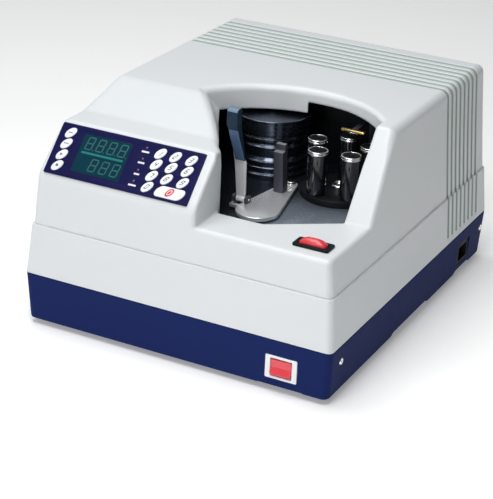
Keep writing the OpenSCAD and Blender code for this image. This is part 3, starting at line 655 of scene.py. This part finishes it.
def base_sd(x, y, z):
    t = (z - 6) / (JZ - 6)
    hx, hy = 172.2 + 2.8 * t, 210.7 + 2.8 * t
    out = rect_sd(x, y, hx, 0, hy, 7.5)
    out = rmax(out, 6 - z, 2.0)
    out = rmax(out, z - (JZ - 0.25), 0.7)
    inn = np.maximum(rect_sd(x, y, hx - 3.2, 0, hy - 3.2, 4.0), 14 - z)
    under = np.maximum(rect_sd(x, y, 168.8, 0, 207.3, 4.0), z - 11)
    body = np.maximum(np.maximum(out, -inn), -under)
    for ya, yb in ((-52, 50), (127, 176)):
        arch = rmax(np.abs(y - (ya + yb) / 2) - (yb - ya) / 2 - (6.2 - z) * 1.2, z - 9.7, 1.6)
        body = rmax(body, -arch, 0.8)
    fr = np.maximum(np.maximum(np.abs(x - 121) - 24, z - 7.3), y + 195)
    body = rmax(body, -fr, 0.5)
    sw = np.maximum(np.maximum(np.abs(x - 122.7) - 15.5, np.abs(z - 29) - 11.5), y + 200)
    inl = np.maximum(np.maximum(np.abs(y - 150) - 16, np.abs(z - 29) - 12.5), 160 - x)
    return np.maximum(np.maximum(body, -sw), -inl)


bx = lines(-178, 178, STEP)
by = lines(-217, 217, STEP)
bz = lines(4, 60, STEP, [(6.6, 1.8, 0.6), (9.7, 0.8, 0.4), (JZ, 1.6, 0.4)])
P, Q = surface_nets(base_sd, bx, by, bz)
finish_mesh("base_tub", mesh_np(P, Q), MAT["base"], node="base_pan", angle=None)

# ---------------------------------------------------------------- control panel

PM = Matrix.Translation((0, -206, 168)) @ Matrix.Rotation(PANEL_A, 4, "X")
key_x = [-39.8, -22.9, -4.9]
key_s = [49.7, 37.6, 25.1, 12.9]
fkey_s = [50, 37.7, 25.3, 13]
lamp_s = [52.6, 40.5, 28, 15.7]
KA, KB, KG = 7.2, 4.4, 0.25
SLANT = math.radians(48)


def slant_oval(cx, cy, a, b, dx=0.0, n=48):
    pts = []
    for i in range(n):
        t = 2 * math.pi * i / n
        nx = math.cos(SLANT) * math.cos(t) / a - math.sin(SLANT) * math.sin(t) / b
        pts.append((cx + a * math.cos(t) * math.cos(SLANT) - b * math.sin(t) * math.sin(SLANT) + (dx if nx > 0 else -dx),
                    cy + a * math.cos(t) * math.sin(SLANT) + b * math.sin(t) * math.cos(SLANT)))
    return pts


def key_outline(name, g=0.0):
    if name == "key_0":
        return slant_oval(key_x[0], key_s[3], KA + g, KB + g)
    if name == "key_clear":
        return slant_oval(-14.05, 11.9, KA + g, KB + g, 10.35)
    if name.startswith("key_f"):
        return slant_oval(-144.4, fkey_s[int(name[-1]) - 1], KA + g, KB + g)
    i = int(name[-1])
    return slant_oval(key_x[(i - 1) % 3], key_s[(i - 1) // 3], KA + g, KB + g)


KEYS = ["key_%d" % i for i in range(10)] + ["key_clear"] + ["key_f%d" % i for i in range(1, 5)]
holes = [key_outline(k, KG) for k in KEYS] + [rring(-128.4, 10.6, -72.6, 53.1, 0.6, 3)] + [oval(-56.3, s, 1.15, 1.15, 20) for s in lamp_s]
me = plate([rring(-157, 3, 8.5, 60, 1.5, 4)] + holes, 0.0, 1.0, 0.12)
finish_mesh("overlay_film", me, MAT["overlay"], node="panel_overlay", matrix=PM)

# the window: a glossy tinted pane
me = plate([rring(-128.35, 10.65, -72.65, 53.05, 0.5, 3)], -1.0, 0.86, 0.12)
finish_mesh("window_pane", me, MAT["window"], node="display_window", matrix=PM)

SEGS = {0: "abcdef", 1: "bc", 2: "abged", 3: "abgcd", 4: "fgbc", 5: "afgcd", 6: "afgedc", 7: "abc", 8: "abcdefg", 9: "abcdfg"}


def seg_shapes(cx, cy, w, h, t, segs, slant=0.12, gap=0.18):
    out = []

    def hbar(y):
        x0, x1 = -w / 2 + t * 0.55 + gap, w / 2 - t * 0.55 - gap
        k = t / 2
        return [(x0 - k * 0.4, y), (x0 + k * 0.6, y - k), (x1 - k * 0.6, y - k), (x1 + k * 0.4, y), (x1 - k * 0.6, y + k), (x0 + k * 0.6, y + k)]

    def vbar(x, ya, yb):
        y0, y1 = ya + gap + t * 0.1, yb - gap - t * 0.1
        k = t / 2
        return [(x, y0 - k * 0.4), (x + k, y0 + k * 0.6), (x + k, y1 - k * 0.6), (x, y1 + k * 0.4), (x - k, y1 - k * 0.6), (x - k, y0 + k * 0.6)]
    xo = w / 2 - t / 2
    tab = {"a": hbar(h / 2 - t / 2), "g": hbar(0), "d": hbar(-h / 2 + t / 2), "f": vbar(-xo, 0, h / 2 - t / 2), "b": vbar(xo, 0, h / 2 - t / 2),
           "e": vbar(-xo, -h / 2 + t / 2, 0), "c": vbar(xo, -h / 2 + t / 2, 0)}
    for s in segs:
        out.append([(cx + x + slant * y, cy + y) for x, y in tab[s]])
    return out


def flat_shapes(shapes, z0, z1):
    return plate(shapes, z0, z1, 0.02, 0)


digit_x = [-118.4, -105.7, -93, -80.3]
parts = []
sh = []
for x in digit_x:
    sh += seg_shapes(x, 43.3, 8.6, 14.4, 1.35, SEGS[8])
for x in digit_x[1:]:
    sh += seg_shapes(x, 21.2, 8.6, 14.4, 1.35, SEGS[8])
for s in sh:
    parts.append((flat_shapes([s], 0.80, 0.93), 0))
for x in digit_x:
    parts.append((flat_shapes([oval(x + 5.4, 36.6, 0.7, 0.7, 14)], 0.80, 0.92), 0))
parts.append((flat_shapes([rring(-124.6, 31.6, -76.2, 33.9, 0.4, 2)], 0.80, 0.94), 1))
finish_mesh("digit_segments", join_meshes(parts), [MAT["seg"], MAT["bar"]], matrix=PM)

parts = []
for s in lamp_s:
    parts.append((lathe([(0, -6.0), (1.05, -6.0), (1.05, 1.1), (0.9, 1.32), (0.5, 1.45), (0, 1.48)], 24, (-56.3, s)), 0))
finish_mesh("lamp_lenses", join_meshes(parts), MAT["lamp"], node="indicator_lamps", matrix=PM)

# generic marks beside the lamps: one short bar each, no lettering
parts = []
for i, s in enumerate(lamp_s):
    y = s - 4.6
    w = (8.6, 7.4, 6.2, 8.8)[i]
    parts.append((flat_shapes([rring(-56.3 - w / 2, y - 0.95, -56.3 + w / 2, y + 0.95, 0.5, 3)], 0.95, 1.03), 0))
finish_mesh("lamp_marks", join_meshes(parts), MAT["print"], matrix=PM)

# keys, each a crowned cap on its stem, with a plain printed digit or mark
for k in KEYS:
    body = k + "_body"
    ol = key_outline(k)
    cap = pillow(ol, [(0.9, -3.9), (0.0, -3.6), (0.0, 0.9), (0.07, 1.22), (0.28, 1.45), (0.75, 1.56), (1.8, 1.64), (3.2, 1.69), (4.6, 1.7)])
    pr = []
    c = np.mean(ol, axis=0)
    if k == "key_clear":
        cx, cy = -13.9, 12.2
        pr.append((flat_shapes([slant_oval(cx, cy, 5.5, 3.2)], 1.60, 1.76), 2))
        pr.append((flat_shapes([slant_oval(cx, cy, 3.5, 1.9), slant_oval(cx, cy, 2.7, 1.2)], 1.74, 1.84), 0))
    elif k.startswith("key_f"):
        i = int(k[-1])
        marks = {1: [rring(c[0] - 2.4, c[1] - 0.5, c[0] + 2.4, c[1] + 0.5, 0.3, 2)],
                 2: [oval(c[0] - 2.0, c[1], 0.75, 0.75, 16), oval(c[0], c[1], 0.75, 0.75, 16), oval(c[0] + 2.0, c[1], 0.75, 0.75, 16)],
                 3: [[(c[0] - 1.6, c[1] - 1.5), (c[0] + 1.6, c[1]), (c[0] - 1.6, c[1] + 1.5)]],
                 4: [rring(c[0] - 1.4, c[1] - 1.3, c[0] + 1.4, c[1] + 1.3, 0.3, 2)]}[i]
        for mk in marks:
            pr.append((flat_shapes([mk], 1.60, 1.76), 1))
    else:
        for s in seg_shapes(c[0], c[1], 3.3, 5.3, 0.78, SEGS[int(k[-1])], 0.62, 0.0):
            pr.append((flat_shapes([s], 1.60, 1.76), 1))
    finish_mesh(k + "_cap", join_meshes([(cap, 0)] + [(m_, (1 if mi == 1 else (2 if mi == 2 else 0))) for m_, mi in pr]),
                [MAT["key"], MAT["printgrey"], MAT["printred"]], node=k, body=body, matrix=PM, angle=50)

# ---------------------------------------------------------------- start button

parts = [(plate([rring(116, -191, 154, -172, 2.5, 6), rring(120.3, -186.9, 149.7, -176.1, 1.6, 4)], 151.0, 153.5, 0.5, 3), 0),
         (plate([rring(118.7, -188.3, 151.3, -174.7, 1.2, 3), rring(120.4, -186.8, 149.6, -176.2, 1.5, 4)], 139.0, 151.05, 0.1, 1), 0),
         (plate([rring(118.7, -188.3, 151.3, -174.7, 1.2, 3)], 139.0, 141.0, 0.1, 1), 0)]
finish_mesh("start_bezel_frame", join_meshes(parts), MAT["bblack"], node="start_bezel")
# long crowned dome
nx_, ny_ = 44, 16
x0, x1, y0, y1 = 120.9, 149.1, -186.3, -176.7
verts, faces = [], []


def dome_z(u, v):
    return 133.2 + math.sqrt(26.2 ** 2 - (14.1 * u) ** 2) - 1.5 * abs(v) ** 3.0 - 0.7 * abs(u) ** 8


rr_ = rring(x0, y0, x1, y1, 2.2, 6)
rings = [[(px, py, 146.0) for px, py in rr_], [(px, py, 151.6) for px, py in rr_]]
cx, cy, ha, hb = (x0 + x1) / 2, (y0 + y1) / 2, (x1 - x0) / 2, (y1 - y0) / 2
for s in (1.0, 0.985, 0.95, 0.88, 0.78, 0.66, 0.54, 0.42, 0.3, 0.18, 0.06):
    rings.append([(cx + (px - cx) * s, cy + (py - cy) * s, dome_z((px - cx) * s / ha, (py - cy) * s / hb) - {1.0: 1.5, 0.985: 0.6, 0.95: 0.15}.get(s, 0.0)) for px, py in rr_])
finish_mesh("start_dome", loft(rings), MAT["domered"], node="start_button", body="start", angle=60)

# ---------------------------------------------------------------- mains rocker

FR = Matrix.Rotation(math.radians(90), 4, "X")   # plate's x, y -> X, Z; its +z -> -Y


def front_plate(loops, y_back, y_front, bevel=0.3, res=3):
    me = plate(loops, -y_back, -y_front, bevel, res)
    me.transform(FR)
    return me


rc = (122.7, -209.478, 29.0)
parts = [(front_plate([rring(105.5, 16.5, 139.9, 41.5, 1.4, 5), rring(rc[0] - 11.7, 19.3, rc[0] + 11.7, 38.7, 0.6, 3)], -211.2, -213.4, 0.55, 3), 0),
         (front_plate([rring(109, 18.7, 136.4, 39.3, 0.5, 2), rring(rc[0] - 11.7, 19.3, rc[0] + 11.7, 38.7, 0.5, 3)], -188.0, -211.2, 0.1, 1), 0),
         (front_plate([rring(109, 18.7, 136.4, 39.3, 0.5, 2)], -186.0, -188.1, 0.1, 1), 0)]
finish_mesh("switch_frame", join_meshes(parts), MAT["bwhite"], node="switch_housing")
prof = soften([(5, 0), (3.5, -5.5), (-4.0, -8.0), (-5.4, -7.6), (-3.6, 0), (-5.4, 7.6), (-4.0, 8.0), (3.5, 5.5), (5, 0)], 0.7, 3)[:-1]
rings = []
for x, ins in ((-11.3, 0.9), (-11.1, 0.4), (-10.5, 0.08), (-9.8, 0.0), (9.8, 0.0), (10.5, 0.08), (11.1, 0.4), (11.3, 0.9)):
    rings.append([(x, p[0] * (1 - ins / 9) + ins * 0.35, p[1] * (1 - ins / 9)) for p in prof])
me = loft(rings)
me.transform(Matrix.Translation(rc) @ Matrix.Rotation(math.radians(-9), 4, "X"))
pins = lathe(soften([(0, -13), (1.5, -13), (1.5, 13), (0, 13)], 0.3, 2), 32)
pins.transform(Matrix.Translation(rc) @ Matrix.Rotation(math.radians(90), 4, "Y"))
finish_mesh("rocker_cap", join_meshes([(me, 0), (pins, 0)]), MAT["red"], node="power_rocker", body="rocker", angle=50)

# ---------------------------------------------------------------- turret and spindles

TC = (90.0, -24.5)
SA0 = -118.3
for i in range(5):
    t = math.radians(SA0 + 72 * i)
    c = (TC[0] + 30 * math.cos(t), TC[1] + 30 * math.sin(t))
    parts = []
    p0 = soften([(0, 133.8), (4, 133.8), (4, 147.3), (9.6, 147.3), (10, 147.9), (10, 190.2), (9.4, 190.8), (0, 190.8)], 0.35, 2)
    parts.append((lathe(p0, 72, c), 0))
    p1 = soften([(0, 190.6), (10.2, 190.6), (10.68, 191.0), (10.68, 192.0), (10.25, 192.5), (10.25, 193.1), (10.68, 193.6), (10.68, 194.4), (10.2, 194.8), (9.1, 194.8), (8.9, 194.4), (8.9, 193.4), (0, 193.4)], 0.25, 3)
    parts.append((lathe(p1, 72, c), 1))
    top = [(0, 193.2), (9.0, 193.2), (9.0, 194.5), (8.7, 194.2)]
    for r in (8.0, 6.4, 4.8):
        top += [(r, 194.2), (r - 0.25, 194.42), (r - 0.7, 194.42), (r - 0.95, 194.2)]
    top += [(2.4, 194.2), (2.4, 193.6), (1.6, 193.6), (1.6, 194.2), (0, 194.2)]
    parts.append((lathe(top, 72, c), 3))
    # suction slot in the side of the body and its lip
    sl = plate([rring(-1.1, -14, 1.1, 14, 1.05, 5), rring(-0.6, -13.4, 0.6, 13.4, 0.55, 5)], 0, 0.5, 0.1, 1)
    a = t + math.radians(20)
    R_ = Matrix.Rotation(a, 4, "Z") @ Matrix.Rotation(math.radians(90), 4, "Z") @ Matrix.Rotation(math.radians(90), 4, "X")
    sl.transform(Matrix.Translation((c[0] + 9.72 * math.cos(a), c[1] + 9.72 * math.sin(a), 168)) @ R_)
    parts.append((sl, 0))
    # planet gear at the foot
    gear = []
    for j in range(20):
        for da, dr in ((-0.29, -1.15), (-0.12, 0.78), (0.12, 0.78), (0.29, -1.15)):
            q = t + math.radians(9 + 18 * j + da * 18)
            gear.append((c[0] + (10 + dr) * math.cos(q), c[1] + (10 + dr) * math.sin(q)))
    parts.append((plate([gear], 128, 134, 0.12, 1), 2))
    finish_mesh("spindle_%d_turned" % (i + 1), join_meshes(parts), [MAT["black"], MAT["chrome"], MAT["brass"], MAT["neck"]], node="spindle_%d" % (i + 1),
                body="spindle_%d_body" % (i + 1), angle=38)

# turret table and its shaft
ol = oval(TC[0], TC[1], 40.5, 40.5, 128)
me = plate([ol, oval(TC[0], TC[1], 6.0, 6.0, 48)] + [oval(TC[0] + 30 * math.cos(math.radians(SA0 + 72 * i)), TC[1] + 30 * math.sin(math.radians(SA0 + 72 * i)), 4.1, 4.1, 32) for i in range(5)], 141, 147, 0.6, 3)
finish_mesh("turret_table", me, MAT["table"], node="turret_disc", body="turret")
me = lathe(soften([(0, 80), (5.5, 80), (6, 80.5), (6, 147), (9, 147), (9, 151.2), (8.2, 152), (6.4, 152), (6, 151.2), (4, 151.2), (3.4, 150.2), (0, 150.2)], 0.3, 2), 64, TC)
finish_mesh("turret_spindle_shaft", me, MAT["chrome"], node="turret_shaft", body="turret")

# banded drum
DC = (-6.0, 10.0)
prof = [(0, 140), (43, 140), (43, 144.4), (40.5, 145.4), (40.5, 149.9), (41.3, 150.5), (41.3, 151.6), (40.3, 152.2), (40.3, 157),
        (41.1, 157.5), (41.1, 158.5), (39.5, 159), (37, 162.5), (39.8, 174), (38, 175.5), (37, 177.5), (38, 179.5), (40, 180.5), (40, 183.5),
        (38.2, 184.5), (38.2, 186.5), (40.4, 187.5), (40.4, 201.4), (41.5, 202.2), (41.5, 203.3), (41.0, 203.8), (39.6, 203.8), (38.8, 202.9), (0, 202.9)]
finish_mesh("drum_turned", lathe(soften(prof, 0.5, 3), 192, DC), MAT["drum"], node="guide_drum", angle=30)

# ---------------------------------------------------------------- note clamp

LC = (20.0, -110.0, 149.0)


def lever_hw(z):
    t = np.interp(z, [140, 190, 255], [0, 1, 2])
    l = np.interp(z, [140, 190, 222, 255], [-4.6, -6.6, -7.1, -7.5])
    r = np.interp(z, [140, 190, 255], [4.6, 6.2, 5.0])
    return LC[0] + l, LC[0] + r


def bar_section(y, z, ny, nz, th, x0, x1, r):
    """Rounded rectangle: across X, and th thick along the normal (ny, nz), centred on (y, z)."""
    out = []
    for px, pt in rring(x0, -th / 2, x1, th / 2, r, 3):
        out.append((px, y + ny * pt, z + nz * pt))
    return out


cl = [(-110.0, 147.2), (-110.6, 152), (-112.0, 168), (-113.6, 184), (-114.4, 190.6), (-115.6, 194.6), (-119.6, 208), (-123.2, 220.2), (-124.0, 224), (-124.5, 232), (-124.9, 249.4)]
rings = []
for i, (y, z) in enumerate(cl):
    a, b = cl[max(i - 1, 0)], cl[min(i + 1, len(cl) - 1)]
    d = np.array([b[0] - a[0], b[1] - a[1]])
    d /= np.linalg.norm(d)
    x0, x1 = lever_hw(z)
    x1 -= 2.8 * float(smooth((z - 190) / 8))
    rings.append(bar_section(y, z, -d[1], d[0], 2.9, x0, x1, 0.7))
parts = [(loft(rings), 0)]
eye = lathe(soften([(1.55, -4.5), (3.6, -4.5), (3.6, 4.5), (1.55, 4.5)], 0.3, 2), 40, closed=True)
eye.transform(Matrix.Translation(LC) @ Matrix.Rotation(math.radians(90), 4, "Y"))
parts.append((eye, 0))
finish_mesh("lever_bar", join_meshes(parts), MAT["leversteel"], node="clamp_lever", body="lever", angle=40)

# grip: a raked face pad below and a cap above
gp = [(-116.6, 193.0, 3.0), (-120.9, 206.0, 6.6), (-125.6, 218.6, 9.6), (-129.2, 229.0, 10.8), (-130.2, 233.0, 11.2), (-130.4, 242.0, 11.4), (-130.2, 249.2, 11.2), (-129.9, 251.0, 10.4), (-129.6, 252.0, 8.6)]
rings = []
for y, z, th in gp:
    x0, x1 = lever_hw(z)
    rings.append([(px, y + pt, z + (0.0 if z > 236 else (-pt) * 0.22)) for px, pt in rring(x0 + (0.3 if z > 230 else 1.7), -th / 2, x1 - 0.3, th / 2, min(1.3, th * 0.35), 4)])
me = loft(rings)
# tones by face direction: upward top faces and the raked lower front pad get the lighter blues as painted light, the
# other faces keep the darker blue
fz = []
for p in me.polygons:
    c = p.center
    n = p.normal
    if c.z > 249.5 and n.z > 0.3:
        fz.append(2)
    elif c.z < 231.0 and n.y < -0.4:
        fz.append(1)
    else:
        fz.append(0)
me.polygons.foreach_set("material_index", fz)
finish_mesh("grip_moulding", me, [MAT["grip"], MAT["grip_painted_lit_face"], MAT["grip_painted_lit_top"]], node="lever_grip", body="lever", angle=50)

# clamp base plate with rounded front, lug, ears and pin
def hull2(c0, r0, c1, r1, n=24):
    d = math.hypot(c1[0] - c0[0], c1[1] - c0[1])
    base = math.atan2(c1[1] - c0[1], c1[0] - c0[0])
    k = math.acos((r0 - r1) / d)
    pts = [(c1[0] + r1 * math.cos(base + k * (1 - 2 * i / n)), c1[1] + r1 * math.sin(base + k * (1 - 2 * i / n))) for i in range(n + 1)]
    a0_, a1_ = base - k, base + k - 2 * math.pi
    pts += [(c0[0] + r0 * math.cos(a0_ + (a1_ - a0_) * i / n), c0[1] + r0 * math.sin(a0_ + (a1_ - a0_) * i / n)) for i in range(n + 1)]
    return pts


PC = (42.0, -40.0)
ol = hull2(PC, 7.5, (44, -120.5), 22.4, 36)
parts = [(plate([ol, oval(PC[0], PC[1], 4.04, 4.04, 40)], 142, 146, 0.7, 3), 0),
         (plate([rring(11.4, -121, 14.3, -100, 1.2, 3)], 142.05, 145.95, 0.5, 2), 0), (plate([rring(11.4, -121, 34, -117.2, 1.5, 3)], 142.05, 145.95, 0.5, 2), 0),
         (plate([rring(11.4, -103, 34, -100, 1.2, 3)], 142.05, 145.95, 0.5, 2), 0)]
for s in (-1, 1):
    e = plate([rring(-115, 145, -105, 153, 2.6, 4)], -1.5, 1.5, 0.35, 2)
    e.transform(Matrix.Translation((LC[0] + s * 7.2, 0, 0)) @ Matrix(((0, 0, 1, 0), (1, 0, 0, 0), (0, 1, 0, 0), (0, 0, 0, 1))))
    parts.append((e, 1))
pin = lathe(soften([(0, -8.9), (1.5, -8.9), (1.5, 8.9), (0, 8.9)], 0.3, 2), 32)
pin.transform(Matrix.Translation(LC) @ Matrix.Rotation(math.radians(90), 4, "Y"))
parts.append((pin, 0))
finish_mesh("clamp_base_plate", join_meshes(parts), [MAT["clampsteel"], MAT["jaw"]], node="clamp_plate", body="clamp")
pv = lathe(soften([(0, 137), (4, 137), (4, 146.2), (5.5, 146.2), (5.5, 148.6), (5.0, 149.6), (0, 150)], 0.35, 3), 48, PC)
finish_mesh("clamp_pivot_bolt", pv, MAT["chrome"], node="clamp_pivot")
jw = plate([soften([(-69, 146), (-58, 146), (-58, 197), (-63.2, 197), (-63.2, 190), (-69, 190), (-69, 146)], 0.8, 3)[:-1]], -5.4, 5.4, 0.6, 3)
jw.transform(Matrix(((0, 0, 1, 0), (1, 0, 0, 0), (0, 1, 0, 0), (0, 0, 0, 1))))
for v in jw.vertices:
    v.co.x += 41.45 - (v.co.z - 146) * 0.05
# upward faces on top of the jaw take the lighter grey: painted highlight
fz = [1 if (p.normal.z > 0.6 and p.center.z > 188) else 0 for p in jw.polygons]
jw.polygons.foreach_set("material_index", fz)
finish_mesh("fixed_jaw_block", jw, [MAT["jaw"], MAT["jaw_painted_lit_top"]], node="fixed_jaw", body="clamp")

# ---------------------------------------------------------------- deck, liner, bridge, small parts keep the CAD shape with rounded edges

cad_bevel("cavity_deck", "deck_sheet", MAT["deck"], 0.4, 2)
cad_bevel("cavity_shroud", "shroud_liner", MAT["liner"], 0.4, 2)
sb = cad_bevel("sensor_bracket", "sensor_bracket_sheet", [MAT["jaw"], MAT["yzinc"]], 0.5, 2)
for p in sb.data.polygons:
    p.material_index = 1 if p.center.y * 1000 - YS < -3.9 else 0
cad_bevel("power_inlet", "inlet_socket", [MAT["hole"]], 0.5, 2)
cad_bevel("cover_screws", "side_screws", MAT["chrome"], 0.2, 2)
cad_bevel("rubber_feet", "feet_rubber", MAT["rubber"], 0.5, 2)

KEEP = {"chassis_plate": "zinc", "deck_posts": "zinc", "gear_housing": "alloy", "sun_gear": "brass", "turret_bearings": "zinc", "drive_motor": "motor",
        "drive_belt": "rubber", "vacuum_pump": "motor", "vacuum_hose": "rubber", "vacuum_union": "brass", "transformer": "lamin",
        "power_board": "pcb", "control_board": "pcb", "display_board": "pcb", "digit_displays": "seg", "turret_pulley": "alloy", "motor_pulley": "alloy"}
for n, mk in KEEP.items():
    o = NODES[n]
    o.data.materials.clear()
    o.data.materials.append(MAT[mk])

# ---------------------------------------------------------------- stage, light and camera

def stage_mat(name, col, rough):
    m = bpy.data.materials.new(name)
    m.use_nodes = True
    b = m.node_tree.nodes["Principled BSDF"]
    b.inputs["Base Color"].default_value = col
    b.inputs["Roughness"].default_value = rough
    b.inputs["Specular IOR Level"].default_value = 0.1
    return m


me = bpy.data.meshes.new("floor")
me.from_pydata([(-9, -9, -0.0002), (9, -9, -0.0002), (9, 9, -0.0002), (-9, 9, -0.0002)], [], [(0, 1, 2, 3)])
floor = bpy.data.objects.new("floor", me)
floor_mat = stage_mat("floor_pale", (0.95, 0.95, 0.95, 1), 0.9)
floor_mat.node_tree.nodes["Principled BSDF"].inputs["Emission Color"].default_value = (1, 1, 1, 1)
floor_mat.node_tree.nodes["Principled BSDF"].inputs["Emission Strength"].default_value = 0.24
scene.collection.objects.link(floor)
me.materials.append(floor_mat)

world = bpy.data.worlds.new("studio")
scene.world = world
world.use_nodes = True
wn, wl = world.node_tree.nodes, world.node_tree.links
wtc = wn.new("ShaderNodeTexCoord")
wsx = wn.new("ShaderNodeSeparateXYZ")
wmr = wn.new("ShaderNodeMapRange")
wl.new(wtc.outputs["Generated"], wsx.inputs["Vector"])
wl.new(wsx.outputs["X"], wmr.inputs["Value"])
wmr.inputs["From Min"].default_value = -0.6
wmr.inputs["From Max"].default_value = 0.9
wmr.inputs["To Min"].default_value = 0.33
wmr.inputs["To Max"].default_value = 0.0
wl.new(wmr.outputs["Result"], wn["Background"].inputs["Strength"])
wn["Background"].inputs["Color"].default_value = (0.97, 0.99, 1, 1)


def area(name, loc, target, size, energy, color=(1, 1, 1), size_y=None):
    l = bpy.data.lights.new(name, "AREA")
    l.shape = "RECTANGLE"
    l.size = size
    l.size_y = size_y or size
    l.energy = energy
    l.color = color
    o = bpy.data.objects.new(name, l)
    scene.collection.objects.link(o)
    o.location = loc
    o.rotation_mode = "QUATERNION"
    o.rotation_quaternion = (Vector(target) - Vector(loc)).to_track_quat("-Z", "Y")
    return o


area("key", (-0.6, -2.5, 1.25), (0, 0, 0.12), 1.0, 8.5)
area("top", (-0.35, -0.1, 2.0), (0, 0, 0.2), 1.2, 20.0)
area("pocket", (0.17, -0.6, 0.95), (0.03, -0.08, 0.2), 0.35, 3.7)
area("strip", (0.15, -2.1, 0.5), (0.05, 0, 0.16), 0.2, 2.2, size_y=0.9)

cam = bpy.data.cameras.new("photo_camera")
co = bpy.data.objects.new("photo_camera", cam)
scene.collection.objects.link(co)
az, el, roll = map(math.radians, (26.2943330, 24.2670097, 2.69929865))
back = Vector((math.sin(az) * math.cos(el), -math.cos(az) * math.cos(el), math.sin(el)))
right = Vector((math.cos(az), math.sin(az), 0))
up = back.cross(right)
c_, s_ = math.cos(roll), math.sin(roll)
r2, u2 = right * c_ + up * s_, up * c_ - right * s_
loc = Vector((0.73580, -1.54110 + YS / 1000, 0.81367))
co.matrix_world = Matrix(((r2.x, u2.x, back.x, loc.x), (r2.y, u2.y, back.y, loc.y), (r2.z, u2.z, back.z, loc.z), (0, 0, 0, 1)))
cam.sensor_width = 36
cam.sensor_fit = "AUTO"
cam.lens = 1706.0744 * 36 / 499
cam.clip_start, cam.clip_end = 0.05, 50
scene.camera = co
